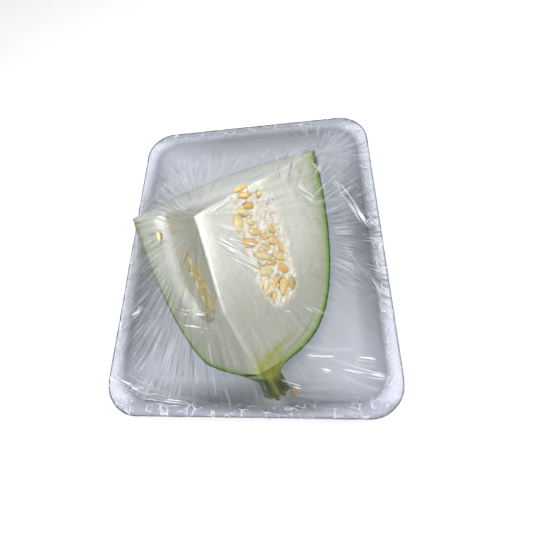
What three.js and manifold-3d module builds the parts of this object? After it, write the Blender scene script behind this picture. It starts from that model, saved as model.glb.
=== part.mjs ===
// A wedge of winter melon on a foam tray, under stretched cling film.
// Millimetres. +X is to the right, +Y runs along the tray away from the stem, +Z is up.
// The origin is the middle of the wrapped tray's underside.
import * as THREE from "three";
import { ConvexGeometry } from "three/addons/geometries/ConvexGeometry.js";
import { mergeVertices } from "three/addons/utils/BufferGeometryUtils.js";
import Module from "manifold-3d";

const wasm = await Module();
wasm.setup();
const degrees = THREE.MathUtils.degToRad;

// Driving dimensions
const GAP = 0.3; // clearance between pieces that touch
const FILM = { thickness: 0.5, bareSide: 60, bareAlongY: 60 }; // the bare patch is under the tray
const TRAY = { width: 210, length: 256, height: 25, foam: 4, corner: 25, lip: 9, wallRun: 15 };
const MELON = {
  radius: 92.8, // where the whole melon is widest
  widest: -37, // that place on the melon's axis; zero is level with the ridge corner
  stemEnd: 98.6, // the blunt end on the axis
  pointing: 1.58, // how early the side starts to draw in
  bluntness: 3.1, // how squarely it closes at the end
};
const RIDGE = { x: -2.9, y: -21.5 }; // the edge between the two long cuts, off the melon's axis
const CUT = { opening: 95, leftSlant: -0.29, rightSlant: -0.325 }; // slants tilt the cross cut
const LYING = { heading: -75, tilt: 113, roll: -40, x: -3.7, y: -9.8 }; // how the wedge lies
const KNIFE_TURN = { start: 55, end: 96, across: 10, fadeOut: 48 }; // where the left cut swings in
const RECESS = { depth: 7, ridgeEdge: 3.2, outerEdge: 47, endEdge: 31, end: 62 }; // scooped left cut
const STEM = {
  base: 11, waist: 7.2, collar: 7.8, tip: 6.4, // radii from the rind outwards
  length: 17, ribs: 5, x: 2.4, y: -3,
  shave: 35, // how steeply the right cut runs out through its foot
};
const SEED = { thickness: 3.4, pinch: 0.3, lean: 14, sunk: 0.5 };

const TRAY_BOTTOM = FILM.thickness + GAP;
const TRAY_FLOOR = TRAY_BOTTOM + TRAY.foam;
const TRAY_RIM = TRAY_BOTTOM + TRAY.height;

// Seeds that show on the right cut: millimetres along the axis and across from the ridge,
// then length, width, and the turn in degrees.
const RIGHT_SEEDS = [
  [-13, 36, 10.5, 3.6, -14], [-8.2, 37.5, 12, 4.4, -5], [-8.7, 48.7, 5.5, 4, -37],
  [-1.4, 38, 8.5, 4.8, -14], [2.1, 32, 9, 6, 23], [8.5, 26.5, 10.5, 7.4, 100],
  [9, 35.5, 6.5, 4.8, 21], [15.7, 36.5, 9, 5.4, 18], [19.8, 43, 6, 4.4, 22],
  [16.5, 50.5, 8, 5.2, 33], [21.8, 31, 11.5, 6.2, 15], [26.8, 41.5, 7.2, 4.8, 26],
  [24, 49, 8.4, 6.4, 21], [29.3, 53.7, 6.4, 4.6, 80], [31.5, 37, 11, 5.4, 19],
  [35, 49.5, 9, 6, 29], [37.3, 42.6, 8.5, 3.4, 12], [41.5, 36.5, 10, 7.4, 19],
  [43, 50, 9.5, 6.8, 48], [49.5, 33.5, 8, 5.2, 123], [50, 40.5, 8.5, 4.6, 131],
  [54, 46.2, 11, 6.6, 114], [54.3, 53.8, 9, 6.4, 107], [57.5, 37, 6, 3.6, 115],
];
// Seeds left on the floor of the recess, measured the same way, and one on the outer flesh.
const LEFT_SEEDS = [
  [20, 32, 9.5, 5, 80], [28.5, 35.5, 8, 4.6, 60], [29.5, 27.5, 9.5, 5.4, 95],
  [37, 32.3, 10, 5.4, 70], [40.2, 24.5, 8.5, 5, 110], [45.8, 30, 9, 5, 85],
  [49, 22.6, 8, 4.8, 120], [54, 29.5, 7, 4.6, 90],
];
const STRAY_SEED = [-1.5, 53.5, 8.5, 5.2, 80];
// Pockets that a seed has dropped out of, on the right cut and at the recess's end.
const RIGHT_POCKETS = [
  [-0.4, 54.5, 6, 3.6, 5], [8, 54.8, 6, 3, 5], [11, 47.8, 6, 2.6, 12], [14.8, 57.2, 5, 3, 12],
  [23.5, 57.5, 5, 3, 20],
];
const LEFT_POCKETS = [[58.5, 22.8, 7, 5.6, 75]];
// A seed in the tray, leaning on the near wall's foot.
const LOOSE_SEED = { length: 10, width: 6, x: 32, wallTurn: 33, turn: 15, lift: 2.3 };

const PALE_FLESH = new THREE.MeshStandardMaterial({ color: 0xd8dcc4, roughness: 0.45, metalness: 0 });
const STEM_GREEN = new THREE.MeshStandardMaterial({ color: 0x3c4a1c, roughness: 0.8, metalness: 0 });
const SEED_SKIN = new THREE.MeshStandardMaterial({ color: 0xdca855, roughness: 0.5, metalness: 0 });
const WHITE_FOAM = new THREE.MeshStandardMaterial({ color: 0xe9ebf2, roughness: 0.6, metalness: 0 });
const CLEAR_FILM = new THREE.MeshStandardMaterial({
  color: 0xffffff, roughness: 0.08, metalness: 0, transparent: true, opacity: 0.2,
});

// Solids and meshes
function solidOf(geometry, matrix = new THREE.Matrix4()) {
  const bare = new THREE.BufferGeometry().setAttribute("position", geometry.getAttribute("position"));
  bare.setIndex(geometry.index);
  const merged = mergeVertices(bare.clone().applyMatrix4(matrix), 1e-4);
  const vertProperties = merged.attributes.position.array;
  const triVerts = new Uint32Array(merged.index.array);
  return new wasm.Manifold(new wasm.Mesh({ numProp: 3, vertProperties, triVerts }));
}

function geometryOf(solid) {
  const { vertProperties, triVerts } = solid.getMesh();
  const geometry = new THREE.BufferGeometry();
  geometry.setAttribute("position", new THREE.BufferAttribute(vertProperties, 3));
  geometry.setIndex(new THREE.BufferAttribute(triVerts, 1));
  geometry.computeVertexNormals();
  return geometry;
}

function named(name, geometry, material) {
  const mesh = new THREE.Mesh(geometry, material);
  mesh.name = name;
  return mesh;
}

// A closed skin through rings of points, each ring anticlockwise seen from the far end.
function loft(rings) {
  const count = rings[0].length;
  const centre = (ring) => ring.reduce((sum, p) => sum.add(p), new THREE.Vector3()).divideScalar(count);
  const points = [...rings.flat(), centre(rings[0]), centre(rings.at(-1))];
  const first = rings.length * count;
  const last = first + 1;
  const index = [];
  for (let j = 0; j < count; j++) {
    const k = (j + 1) % count;
    index.push(first, k, j, last, first - count + j, first - count + k);
    for (let low = 0; low < first - count; low += count) {
      index.push(low + j, low + k, low + count + j);
      index.push(low + k, low + count + k, low + count + j);
    }
  }
  return new THREE.BufferGeometry().setFromPoints(points).setIndex(index);
}

// The foam tray: one rounded outline, lofted round the section of floor, wall and rolled lip.
function trayRing(inset, z) {
  const halfWidth = TRAY.width / 2 - inset;
  const halfLength = TRAY.length / 2 - inset;
  const radius = TRAY.corner - inset * 0.35;
  const stepsPerCorner = 6;
  const ring = [];
  for (let corner = 0; corner < 4; corner++) {
    const sideX = corner === 0 || corner === 3 ? 1 : -1;
    const sideY = corner < 2 ? 1 : -1;
    for (let step = 0; step <= stepsPerCorner; step++) {
      const angle = ((corner + step / stepsPerCorner) * Math.PI) / 2;
      const x = sideX * (halfWidth - radius) + radius * Math.cos(angle);
      const y = sideY * (halfLength - radius) + radius * Math.sin(angle);
      ring.push(new THREE.Vector3(x, y, z));
    }
  }
  return ring;
}

// The wall's section: a quarter of an ellipse from the flat floor up to the lip, at a depth in the foam.
function wallPoint(turn, depth) {
  const rise = TRAY.height - TRAY.foam - 1.6;
  const inset = TRAY.lip + TRAY.wallRun * (1 - Math.sin(turn)) - depth * Math.sin(turn);
  return [inset, TRAY_FLOOR + rise * (1 - Math.cos(turn)) - depth * Math.cos(turn)];
}

function foamTray() {
  const turns = [0, 20, 40, 60, 78].map(degrees);
  const underside = turns.map((turn) => wallPoint(turn, TRAY.foam));
  const inside = [...turns, degrees(90)].reverse().map((turn) => wallPoint(turn, 0));
  const lip = [
    [1, TRAY_RIM - 5], [0, TRAY_RIM - 3.5], [0.4, TRAY_RIM - 1], [2.2, TRAY_RIM],
    [TRAY.lip - 2, TRAY_RIM - 0.3],
  ];
  const section = [...underside, ...lip, ...inside];
  return named("foam_tray", loft(section.map(([inset, z]) => trayRing(inset, z))), WHITE_FOAM);
}

// The melon, about its own axis: local z runs from the cross cut to the stem.
function melonRadius(z) {
  const share = Math.abs(z - MELON.widest) / (MELON.stemEnd - MELON.widest);
  return MELON.radius * Math.max(1 - share ** MELON.pointing, 0) ** (1 / MELON.bluntness);
}

function wholeMelon() {
  const start = MELON.widest - 25;
  const steps = 20;
  const profile = [new THREE.Vector2(0, start)];
  for (let i = 0; i < steps; i++) {
    const z = MELON.stemEnd - (MELON.stemEnd - start) * (1 - i / steps) ** 2;
    profile.push(new THREE.Vector2(melonRadius(z), z));
  }
  profile.push(new THREE.Vector2(0, MELON.stemEnd));
  return solidOf(new THREE.LatheGeometry(profile, 72), new THREE.Matrix4().makeRotationX(Math.PI / 2));
}

// The space between the two long cuts and the slanting cross cut, as one block.
function wedgeBlock() {
  const reach = 200;
  const splay = degrees((CUT.opening - 90) / 2);
  const alongLeft = new THREE.Vector2(Math.cos(splay), -Math.sin(splay)).multiplyScalar(reach);
  const alongRight = new THREE.Vector2(-Math.sin(splay), Math.cos(splay)).multiplyScalar(reach);
  const corners = [];
  for (const left of [0, 1]) {
    for (const right of [0, 1]) {
      const x = RIDGE.x + left * alongLeft.x + right * alongRight.x;
      const y = RIDGE.y + left * alongLeft.y + right * alongRight.y;
      const low = reach * (left * CUT.leftSlant + right * CUT.rightSlant);
      corners.push(new THREE.Vector3(x, y, low), new THREE.Vector3(x, y, reach));
    }
  }
  return solidOf(new ConvexGeometry(corners));
}

// A cut face's own frame: x along the melon's axis, z out of the flesh.
// Distances across from the ridge run along +y on the right face and -y on the left.
function faceMatrix(side) {
  const splay = degrees((CUT.opening - 90) / 2);
  const near = -Math.cos(splay);
  const far = -Math.sin(splay);
  const out = side > 0 ? new THREE.Vector3(near, far, 0) : new THREE.Vector3(far, near, 0);
  const along = new THREE.Vector3(0, 0, 1);
  const across = out.clone().cross(along);
  return new THREE.Matrix4().makeBasis(along, across, out).setPosition(RIDGE.x, RIDGE.y, 0);
}

// The side of the left cut where the knife swung in towards the stem, as a block to take away.
function knifeTurnTool() {
  const start = new THREE.Vector3(KNIFE_TURN.start, 0, 0).applyMatrix4(faceMatrix(1));
  const foot = new THREE.Vector3(KNIFE_TURN.end, KNIFE_TURN.across, 0).applyMatrix4(faceMatrix(1));
  const fade = new THREE.Vector3(KNIFE_TURN.end, -KNIFE_TURN.fadeOut, 0).applyMatrix4(faceMatrix(-1));
  const along = foot.clone().sub(start).normalize();
  const out = fade.clone().sub(start).cross(along).normalize();
  const across = out.clone().cross(along);
  const side = 300;
  const block = new THREE.BoxGeometry(side, side, side).translate(0, 0, side / 2);
  return solidOf(block, new THREE.Matrix4().makeBasis(along, across, out).setPosition(start));
}

// The scoop that took the seed core out of the left cut: it runs out through the cross cut.
function recessTool() {
  const corners = [];
  for (const [depth, inset] of [[2, -1], [-RECESS.depth, 1.5]]) {
    const outline = [
      [-60, RECESS.ridgeEdge + inset], [RECESS.end - 16, RECESS.ridgeEdge + inset],
      [RECESS.end - 2 - inset, 14], [RECESS.end - inset, 24],
      [RECESS.end - 7, RECESS.endEdge + 5 - inset], [34, RECESS.outerEdge + 1 - inset],
      [-60, RECESS.outerEdge - inset],
    ];
    for (const [along, across] of outline) corners.push(new THREE.Vector3(along, -across, depth));
  }
  return solidOf(new ConvexGeometry(corners), faceMatrix(-1));
}

// A flat teardrop seed, its point towards +y, or the pocket that holds it with the gap all round.
function seedGeometry(length, width, clearance = 0) {
  const geometry = new THREE.SphereGeometry(0.5, 8, 5);
  const position = geometry.attributes.position;
  for (let i = 0; i < position.count; i++) {
    const taper = 1 - SEED.pinch * (position.getY(i) + 0.5) ** 2;
    position.setX(i, position.getX(i) * (width * taper + 2 * clearance));
    position.setY(i, position.getY(i) * (length + 2 * clearance));
    position.setZ(i, position.getZ(i) * (SEED.thickness * taper + 2 * clearance));
  }
  return geometry;
}

// Where a seed lies, leaning a little its own way.
function seedMatrix(side, depth, [along, across, length, , turn]) {
  const lean = degrees(SEED.lean) * Math.sin(along + length);
  const place = new THREE.Matrix4().makeRotationZ(degrees(side > 0 ? -turn : 180 + turn));
  place.multiply(new THREE.Matrix4().makeRotationY(lean)).setPosition(along, side * across, -depth);
  return faceMatrix(side).multiply(place);
}

// Every seed in the flesh, or every empty pocket: its name, its size and its place in the melon.
function seedRow(name, side, depth, seeds) {
  return seeds.map((seed, i) => ({
    name: `${name}_${String(i + 1).padStart(2, "0")}`,
    length: seed[2],
    width: seed[3],
    matrix: seedMatrix(side, depth, seed),
  }));
}

function seedPlaces() {
  return [
    ...seedRow("seed_right", 1, SEED.sunk, RIGHT_SEEDS),
    ...seedRow("seed_left", -1, RECESS.depth + SEED.sunk, LEFT_SEEDS),
    ...seedRow("seed_stray", -1, SEED.sunk, [STRAY_SEED]),
  ];
}

function emptyPockets() {
  return [
    ...seedRow("pocket_right", 1, SEED.sunk, RIGHT_POCKETS),
    ...seedRow("pocket_left", -1, RECESS.depth + SEED.thickness / 4, LEFT_POCKETS),
  ];
}

function melonWedge(seeds) {
  let solid = wholeMelon().intersect(wedgeBlock()).subtract(knifeTurnTool()).subtract(recessTool());
  for (const { length, width, matrix } of [...seeds, ...emptyPockets()]) {
    solid = solid.subtract(solidOf(seedGeometry(length, width, GAP), matrix));
  }
  return named("melon_wedge", geometryOf(solid), PALE_FLESH);
}

// The ribbed stalk, flared where it leaves the rind, with a collar behind its dry end.
function stem() {
  const sides = 20;
  const section = [
    [0, STEM.base], [0.12, STEM.waist + 1.8], [0.35, STEM.waist], [0.7, STEM.collar],
    [0.85, STEM.collar], [1, STEM.tip],
  ];
  const rings = section.map(([share, radius]) =>
    Array.from({ length: sides }, (_, i) => {
      const angle = (i / sides) * 2 * Math.PI;
      const ribbed = radius * (1 + 0.1 * Math.cos(STEM.ribs * angle));
      const x = STEM.x * (1 - share) + ribbed * Math.cos(angle);
      const y = STEM.y * (1 - share) + ribbed * Math.sin(angle);
      return new THREE.Vector3(x, y, MELON.stemEnd + GAP + share * STEM.length);
    }),
  );
  const side = 100;
  const block = new THREE.BoxGeometry(side, side, side).translate(0, 0, side / 2);
  const shave = faceMatrix(1).multiply(new THREE.Matrix4().makeTranslation(MELON.stemEnd, 0, 0));
  shave.multiply(new THREE.Matrix4().makeRotationY(degrees(-STEM.shave)));
  return named("stem", geometryOf(solidOf(loft(rings)).subtract(solidOf(block, shave))), STEM_GREEN);
}

// The melon's pieces, turned as the wedge lies and set down on the tray's floor.
function melonGroup() {
  const axis = new THREE.Group();
  const seeds = seedPlaces();
  axis.add(melonWedge(seeds), stem());
  for (const seed of seeds) {
    const mesh = named(seed.name, seedGeometry(seed.length, seed.width), SEED_SKIN);
    mesh.applyMatrix4(seed.matrix);
    axis.add(mesh);
  }
  axis.rotation.z = degrees(LYING.roll);
  const tilted = new THREE.Group();
  tilted.rotation.y = degrees(LYING.tilt);
  tilted.add(axis);
  const melon = new THREE.Group();
  melon.rotation.z = degrees(LYING.heading);
  melon.position.set(LYING.x, LYING.y, 0);
  melon.add(tilted);
  melon.position.z = TRAY_FLOOR + GAP - new THREE.Box3().setFromObject(melon, true).min.z;
  return melon;
}

function looseSeed() {
  const mesh = named("seed_loose", seedGeometry(LOOSE_SEED.length, LOOSE_SEED.width), SEED_SKIN);
  const turn = degrees(LOOSE_SEED.wallTurn);
  const [inset, z] = wallPoint(turn, -LOOSE_SEED.lift);
  mesh.rotation.set(-turn * 1.2, 0, degrees(LOOSE_SEED.turn));
  mesh.position.set(LOOSE_SEED.x, inset - TRAY.length / 2, z);
  return mesh;
}

// The film: a thin skin a gap away from the hull of all that it is stretched over.
function cornersOf(object) {
  object.updateMatrixWorld(true);
  const points = [];
  object.traverse((mesh) => {
    if (!mesh.isMesh) return;
    const position = mesh.geometry.attributes.position;
    for (let i = 0; i < position.count; i++) {
      points.push(new THREE.Vector3().fromBufferAttribute(position, i).applyMatrix4(mesh.matrixWorld));
    }
  });
  return points;
}

function grownHull(points, distance) {
  const grown = [];
  for (const p of points) {
    for (const [x, y, z] of [[1, 0, 0], [0, 1, 0], [0, 0, 1]]) {
      const step = new THREE.Vector3(x, y, z).multiplyScalar(distance);
      grown.push(p.clone().add(step), p.clone().sub(step));
    }
  }
  return new ConvexGeometry(grown);
}

function clingFilm(tray, melon) {
  const hull = new ConvexGeometry([...cornersOf(tray), ...cornersOf(melon)]);
  const corners = cornersOf(new THREE.Mesh(mergeVertices(hull.deleteAttribute("normal"), 1e-3)));
  const outer = solidOf(grownHull(corners, GAP + FILM.thickness));
  const inner = solidOf(grownHull(corners, GAP));
  const bare = new THREE.BoxGeometry(FILM.bareSide, FILM.bareSide, 4 * FILM.thickness);
  bare.translate(0, FILM.bareAlongY, 0);
  return named("cling_film", geometryOf(outer.subtract(inner).subtract(solidOf(bare))), CLEAR_FILM);
}

const part = new THREE.Group();
const tray = foamTray();
const melon = melonGroup();
part.add(tray, melon, looseSeed(), clingFilm(tray, melon));

export default part;
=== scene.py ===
"""Looks for a wedge of winter melon on a foam tray under stretched cling film.

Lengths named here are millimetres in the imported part's frame, and MM turns them into metres.
"""
import math
import random

import bpy
import numpy as np
from mathutils import Matrix, Vector, noise
from mathutils.bvhtree import BVHTree


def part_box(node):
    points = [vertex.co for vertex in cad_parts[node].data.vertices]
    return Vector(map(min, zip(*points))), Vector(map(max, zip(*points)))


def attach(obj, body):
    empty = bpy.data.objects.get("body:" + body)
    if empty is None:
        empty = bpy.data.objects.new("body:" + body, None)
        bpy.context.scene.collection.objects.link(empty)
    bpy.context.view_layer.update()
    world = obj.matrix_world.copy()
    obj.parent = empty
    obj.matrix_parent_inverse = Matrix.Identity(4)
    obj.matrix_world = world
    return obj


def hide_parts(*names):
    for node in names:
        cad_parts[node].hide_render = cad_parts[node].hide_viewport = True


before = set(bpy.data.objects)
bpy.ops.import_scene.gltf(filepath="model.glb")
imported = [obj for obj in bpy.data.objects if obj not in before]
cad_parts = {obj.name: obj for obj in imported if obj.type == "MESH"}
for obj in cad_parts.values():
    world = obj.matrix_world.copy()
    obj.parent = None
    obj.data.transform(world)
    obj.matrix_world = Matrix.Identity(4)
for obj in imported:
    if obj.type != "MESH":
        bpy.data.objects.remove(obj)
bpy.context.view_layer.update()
MM = 0.001
random.seed(7)

# The tray, as its solid was made
TRAY_LOW, TRAY_HIGH = (np.array(corner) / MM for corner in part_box("foam_tray"))
HALF_WIDTH, HALF_LENGTH = TRAY_HIGH[0], TRAY_HIGH[1]
TRAY_BOTTOM, TRAY_RIM = TRAY_LOW[2], TRAY_HIGH[2]
FOAM, CORNER, LIP, WALL_RUN = 4.0, 25.0, 9.0, 15.0
WALL_BELOW_RIM = 1.6
TRAY_FLOOR = TRAY_BOTTOM + FOAM

# The melon about its own axis, whose +z runs towards the stem
MELON_RADIUS, WIDEST, STEM_END = 92.8, -37.0, 98.6
POINTING, BLUNTNESS = 1.58, 3.1
RIDGE = np.array([-2.9, -21.5, 0.0])
SPLAY = math.radians(2.5)
STEM_FOOT = (2.4, -3.0)
LEFT_SLANT, RIGHT_SLANT = -0.29, -0.325
TURN = (
    Matrix.Rotation(math.radians(-75), 3, "Z")
    @ Matrix.Rotation(math.radians(113), 3, "Y")
    @ Matrix.Rotation(math.radians(-40), 3, "Z")
)
TURN_ARRAY = np.array(TURN)
PEAK_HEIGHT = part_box("melon_wedge")[1][2] / MM
MELON_AT = np.array([-3.7, -9.8, PEAK_HEIGHT - (TURN_ARRAY @ RIDGE)[2]])
PEAK = TURN_ARRAY @ RIDGE + MELON_AT

# Outward normals and across-from-ridge directions of the two long cuts, in the melon's own frame
RIGHT_OUT = np.array([-math.cos(SPLAY), -math.sin(SPLAY), 0.0])
RIGHT_ACROSS = np.array([-math.sin(SPLAY), math.cos(SPLAY), 0.0])
LEFT_OUT = np.array([-math.sin(SPLAY), -math.cos(SPLAY), 0.0])
LEFT_ACROSS = np.array([math.cos(SPLAY), -math.sin(SPLAY), 0.0])


def from_melon(points):
    """Points in the melon's own frame, moved to the part's frame."""
    return np.asarray(points) @ TURN_ARRAY.T + MELON_AT


def to_melon(points):
    return (np.asarray(points) - MELON_AT) @ TURN_ARRAY


def smoothstep(low, high, x):
    share = np.clip((x - low) / (high - low), 0, 1)
    return share * share * (3 - 2 * share)


# ---------------------------------------------------------------- mesh helpers

def mesh_object(name, points, faces):
    """A smooth mesh object from points in millimetres."""
    mesh = bpy.data.meshes.new(name)
    mesh.from_pydata((np.asarray(points) * MM).tolist(), [], faces)
    mesh.update()
    mesh.polygons.foreach_set("use_smooth", [True] * len(mesh.polygons))
    piece = bpy.data.objects.new(name, mesh)
    bpy.context.collection.objects.link(piece)
    return piece


def points_of(piece):
    flat = np.empty(len(piece.data.vertices) * 3)
    piece.data.vertices.foreach_get("co", flat)
    return flat.reshape(-1, 3) / MM


def normals_of(piece):
    flat = np.empty(len(piece.data.vertices) * 3)
    piece.data.vertices.foreach_get("normal", flat)
    return flat.reshape(-1, 3)


def set_points(piece, points):
    piece.data.vertices.foreach_set("co", (np.asarray(points) * MM).ravel())
    piece.data.update()


def set_values(piece, name, values):
    """One number a vertex, which a material reads by that name."""
    layer = piece.data.attributes.new(name, "FLOAT", "POINT")
    layer.data.foreach_set("value", np.asarray(values, dtype=float))


def noise_at(points, scale, octaves=3):
    """Noise from about -1 to 1 at points, its lumps about scale millimetres across."""
    return np.array([noise.fractal(Vector(p / scale), 1.0, 2.0, octaves) for p in points])


def ring_faces(rings, count):
    """Quads between rings of points, the first ring's points first."""
    faces = []
    for low in range(0, (rings - 1) * count, count):
        for j in range(count):
            k = (j + 1) % count
            faces.append((low + j, low + k, low + count + k, low + count + j))
    return faces


def apply_modifier(piece, kind, **settings):
    modifier = piece.modifiers.new(kind.title(), kind)
    for key, value in settings.items():
        setattr(modifier, key, value)
    bpy.context.view_layer.objects.active = piece
    bpy.ops.object.modifier_apply(modifier=modifier.name)


def copy_of_node(node, name):
    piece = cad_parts[node].copy()
    piece.data = piece.data.copy()
    piece.name = name
    piece.data.materials.clear()
    for key in list(piece.keys()):
        del piece[key]
    bpy.context.collection.objects.link(piece)
    piece.data.transform(piece.matrix_world)
    piece.parent = None
    piece.matrix_world = Matrix()
    return piece


def place(piece, slot, material, *nodes):
    piece.data.materials.append(material)
    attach(piece, "root")
    if nodes:
        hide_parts(*nodes)


# ---------------------------------------------------------------- material helpers

class Nodes:
    """A material's node tree, with short calls for the nodes used here."""

    def __init__(self, name):
        self.material = bpy.data.materials.new(name)
        self.material.use_nodes = True
        self.tree = self.material.node_tree
        self.shader = self.tree.nodes["Principled BSDF"]
        self.output = self.tree.nodes["Material Output"]
        self.place = self.add("ShaderNodeTexCoord").outputs["Object"]

    def add(self, kind, **settings):
        node = self.tree.nodes.new(kind)
        for key, value in settings.items():
            setattr(node, key, value)
        return node

    def link(self, source, target):
        self.tree.links.new(source, target)

    def put(self, socket, value):
        """Sets a socket to a number or colour, or links another node's output to it."""
        if isinstance(value, bpy.types.NodeSocket):
            self.link(value, socket)
        else:
            socket.default_value = value

    def value(self, name):
        return self.add("ShaderNodeAttribute", attribute_name=name).outputs["Fac"]

    def math(self, operation, first, second=0.0, clamp=False):
        node = self.add("ShaderNodeMath", operation=operation, use_clamp=clamp)
        self.put(node.inputs[0], first)
        self.put(node.inputs[1], second)
        return node.outputs[0]

    def noise(self, size, detail=4.0, roughness=0.55, place=None):
        """Noise from 0 to 1 with lumps of about size millimetres."""
        node = self.add("ShaderNodeTexNoise")
        node.inputs["Scale"].default_value = 1 / (size * MM)
        node.inputs["Detail"].default_value = detail
        node.inputs["Roughness"].default_value = roughness
        self.link(place or self.place, node.inputs["Vector"])
        return node.outputs["Fac"]

    def cells(self, size, feature="F1", place=None):
        node = self.add("ShaderNodeTexVoronoi", feature=feature)
        node.inputs["Scale"].default_value = 1 / (size * MM)
        self.link(place or self.place, node.inputs["Vector"])
        return node.outputs["Distance"]

    def warped(self, amount):
        """Object coordinates pushed about by up to amount millimetres, to bend straight borders."""
        wave = self.add("ShaderNodeTexNoise")
        wave.inputs["Scale"].default_value = 1 / (9 * MM)
        self.link(self.place, wave.inputs["Vector"])
        push = self.add("ShaderNodeVectorMath", operation="SCALE")
        push.inputs["Scale"].default_value = amount * MM
        self.link(wave.outputs["Color"], push.inputs[0])
        moved = self.add("ShaderNodeVectorMath", operation="ADD")
        self.link(self.place, moved.inputs[0])
        self.link(push.outputs[0], moved.inputs[1])
        return moved.outputs[0]

    def stretched(self, x, y, z):
        """Object coordinates scaled apart along the melon's own axes."""
        node = self.add("ShaderNodeMapping")
        node.vector_type = "TEXTURE"
        node.inputs["Rotation"].default_value = TURN.to_euler()
        node.inputs["Scale"].default_value = (x, y, z)
        self.link(self.place, node.inputs["Vector"])
        return node.outputs["Vector"]

    def span(self, source, low, high, to_low=0.0, to_high=1.0):
        """Maps low..high to to_low..to_high, held at the ends."""
        node = self.add("ShaderNodeMapRange")
        for socket, number in zip(list(node.inputs)[1:5], (low, high, to_low, to_high)):
            socket.default_value = number
        self.link(source, node.inputs["Value"])
        return node.outputs["Result"]

    def mix(self, share, first, second):
        node = self.add("ShaderNodeMix", data_type="RGBA")
        colour_a, colour_b = node.inputs[6], node.inputs[7]
        self.put(node.inputs["Factor"], share)
        for socket, value in ((colour_a, first), (colour_b, second)):
            self.put(socket, (*value, 1) if isinstance(value, tuple) else value)
        return node.outputs[2]

    def bump(self, height, distance, strength=1.0, before=None):
        node = self.add("ShaderNodeBump")
        node.inputs["Distance"].default_value = distance * MM
        node.inputs["Strength"].default_value = strength
        self.link(height, node.inputs["Height"])
        if before:
            self.link(before, node.inputs["Normal"])
        return node.outputs["Normal"]

    def surface(self, **sockets):
        """Sets the shader's sockets by name, with _ for a space."""
        for name, value in sockets.items():
            socket = self.shader.inputs[name.replace("_", " ")]
            self.put(socket, (*value, 1) if isinstance(value, tuple) and socket.type == "RGBA" else value)


def tone(red, green, blue):
    """A linear colour from the 0 to 255 numbers that a screen shows."""
    return tuple((c / 255 / 12.92) if c < 11 else ((c / 255 + 0.055) / 1.055) ** 2.4
                 for c in (red, green, blue))


# ---------------------------------------------------------------- materials

def melon_material():
    """Dark rind, green flesh that pales inwards, greyed by painted shade towards the stem, and a whiter
    spongy core.
    """
    n = Nodes("melon")
    depth = n.value("rind_depth")
    edge = n.math("ADD", depth, n.span(n.noise(6, 3), 0, 1, -0.5, 0.5))
    grain = n.noise(1.3, 5, 0.7)
    long_grain = n.noise(4, 4, 0.6, n.stretched(1, 1, 4))
    flesh_in = n.mix(n.span(long_grain, 0.3, 0.7), tone(222, 222, 211), tone(238, 238, 231))
    flesh_mid = n.mix(n.span(long_grain, 0.3, 0.7), tone(202, 205, 184), tone(220, 222, 204))
    flesh_in = n.mix(n.span(edge, 12, 34), flesh_mid, flesh_in)
    flesh_in = n.mix(n.span(n.noise(26, 3), 0.5, 0.75, 0, 0.35), flesh_in, tone(206, 209, 170))
    flesh_out = n.mix(long_grain, tone(150, 172, 84), tone(184, 198, 126))
    flesh = n.mix(n.span(edge, 2.0, 13), flesh_out, flesh_in)
    flesh = n.mix(n.span(grain, 0.4, 0.7, 0, 0.25), flesh, tone(190, 192, 174))
    # painted shade: the flesh greys towards the stem end, where the lower cut faces lie in shade
    flesh = n.mix(n.value("stem_end_shade"), flesh, tone(176, 176, 163))
    sponge_noise = n.noise(2.6, 5, 0.7)
    sponge = n.mix(n.span(sponge_noise, 0.32, 0.55), tone(226, 214, 180), tone(249, 247, 238))
    flesh = n.mix(n.math("MULTIPLY", n.value("core"), 0.9), flesh, sponge)
    # white pith, and painted light on the recess's walls
    flesh = n.mix(n.value("pith_and_lit_walls"), flesh, tone(246, 246, 238))
    flesh = n.mix(n.value("stain"), flesh, n.mix(sponge_noise, tone(188, 146, 66), tone(232, 204, 130)))
    # painted shade: the recess floor is a darker grey than the flesh round it
    recess_floor_shade = n.mix(sponge_noise, tone(168, 168, 148), tone(196, 194, 174))
    flesh = n.mix(n.value("recess"), flesh, recess_floor_shade)
    flesh = n.mix(n.value("pulp"), flesh, n.mix(sponge_noise, tone(160, 140, 70), tone(222, 208, 144)))
    streak = n.mix(n.noise(2, 4), tone(142, 148, 40), tone(192, 192, 98))
    flesh = n.mix(n.value("streak"), flesh, streak)
    flesh = n.mix(n.value("greening"), flesh, n.mix(grain, tone(112, 150, 44), tone(150, 172, 96)))
    speck = n.span(n.cells(21), 0.018, 0.03, 0.75, 0)
    flesh = n.mix(speck, flesh, tone(120, 82, 44))
    green = n.mix(n.span(n.noise(2.2, 5, 0.7), 0.3, 0.7), tone(44, 78, 20), tone(84, 116, 42))
    flecks = n.span(n.cells(4.2), 0.1, 0.26, 0.7, 0)
    rind = n.mix(n.span(n.noise(16, 4, 0.6), 0.4, 0.7, 0, 0.5), green, tone(112, 140, 74))
    rind = n.mix(flecks, rind, tone(158, 176, 112))
    bloom = n.span(n.noise(38, 4, 0.55), 0.52, 0.75, 0, 0.35)
    rind = n.mix(bloom, rind, tone(196, 206, 188))
    cut_rind = n.mix(n.noise(3, 3), tone(20, 72, 0), tone(60, 112, 4))
    rind = n.mix(n.value("outside"), cut_rind, rind)
    band = n.mix(n.span(edge, 2.2, 6.0), tone(118, 158, 40), flesh)
    colour = n.mix(n.span(edge, 1.9, 2.6), rind, band)
    height = n.bump(n.cells(1.3), 0.1, 0.4)
    height = n.bump(grain, 0.22, 0.6, height)
    height = n.bump(sponge_noise, 0.5, 0.35, height)
    wet = n.span(n.noise(7, 3), 0.3, 0.7, 0.3, 0.5)
    n.surface(Base_Color=colour, Roughness=wet, Normal=height, Subsurface_Weight=0.2,
              Subsurface_Scale=0.003, Subsurface_Radius=(1.0, 0.9, 0.55), Specular_IOR_Level=0.35)
    return n.material


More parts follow.
